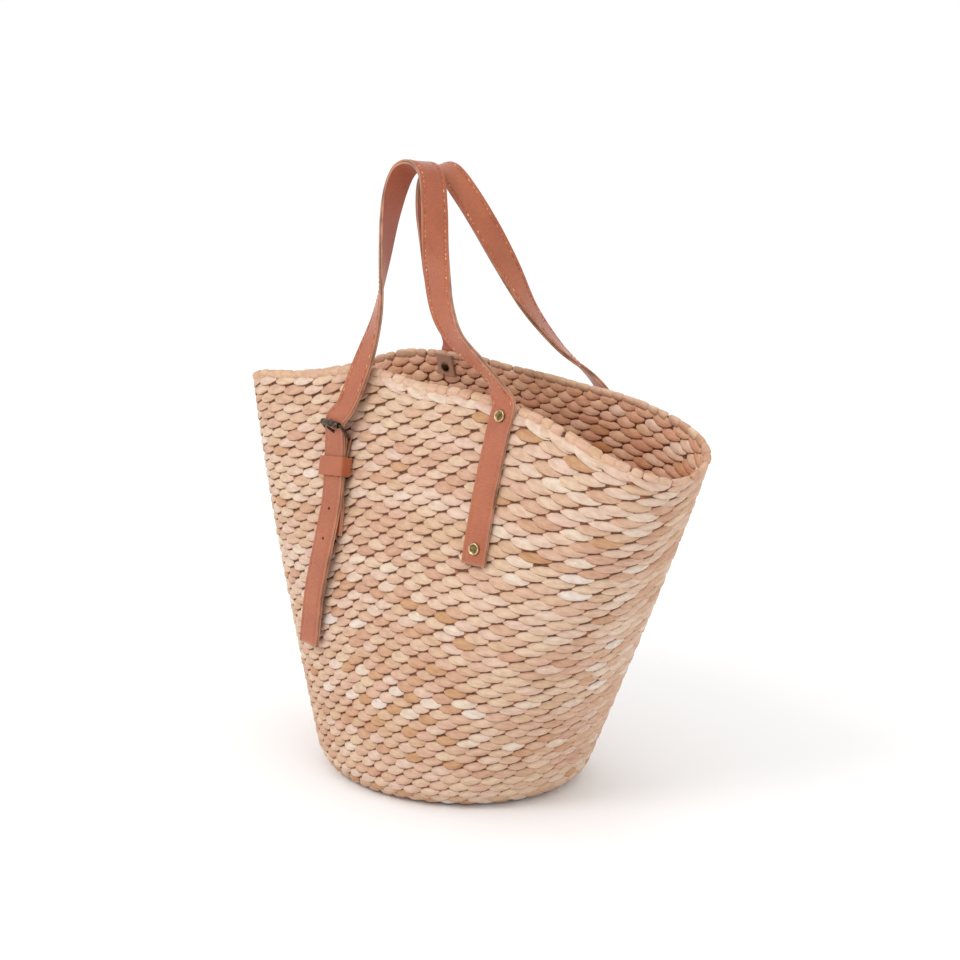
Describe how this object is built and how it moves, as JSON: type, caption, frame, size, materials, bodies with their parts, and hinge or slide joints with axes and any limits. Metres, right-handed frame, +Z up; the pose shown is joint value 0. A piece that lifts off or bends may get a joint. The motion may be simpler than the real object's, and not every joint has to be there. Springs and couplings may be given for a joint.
{
  "type": "straw basket bag",
  "caption": "Woven straw basket bag, round at the foot and long at the mouth, with leather shoulder handles that are riveted at one end and buckled at the other.",
  "frame": {"origin": "middle of the round underside, on the surface that the bag stands on", "axes": "+Z up, +X along the mouth's length towards the lower right tip of the picture's view, -Y out of the front wall"},
  "size_m": [0.4722, 0.2266, 0.5186],
  "materials": {
    "straw_weave": "matte woven dried plant strand with a slight sheen",
    "straw_border": "matte folded and twisted plant strand",
    "tan_leather": "tan grained leather, semi-gloss, with pale cut edges and stitched borders",
    "lining_leather": "smooth dark tan leather, matte",
    "antique_brass": "antique brass, satin, darkened in the low places",
    "dark_bronze": "dark antique bronze, satin, rubbed bright on the edges"
  },
  "bodies": {
    "root": {"basket_body": "straw_weave", "rim_border": "straw_border", "handle_face_front": "tan_leather", "handle_lining_front": "lining_leather", "anchor_strap_front": "tan_leather", "keeper_front": "tan_leather", "buckle_frame_front": "dark_bronze", "buckle_roller_front": "dark_bronze", "buckle_prong_front": "dark_bronze", "rivet_upper_front": "antique_brass", "inner_patch_upper_front": "tan_leather", "rivet_lower_front": "antique_brass", "inner_patch_lower_front": "tan_leather", "rivet_anchor_front": "antique_brass", "inner_patch_anchor_front": "tan_leather", "handle_face_back": "tan_leather", "handle_lining_back": "lining_leather", "anchor_strap_back": "tan_leather", "keeper_back": "tan_leather", "buckle_frame_back": "dark_bronze", "buckle_roller_back": "dark_bronze", "buckle_prong_back": "dark_bronze", "rivet_upper_back": "antique_brass", "inner_patch_upper_back": "tan_leather", "rivet_lower_back": "antique_brass", "inner_patch_lower_back": "tan_leather", "rivet_anchor_back": "antique_brass", "inner_patch_anchor_back": "tan_leather"}
  },
  "joints": []
}
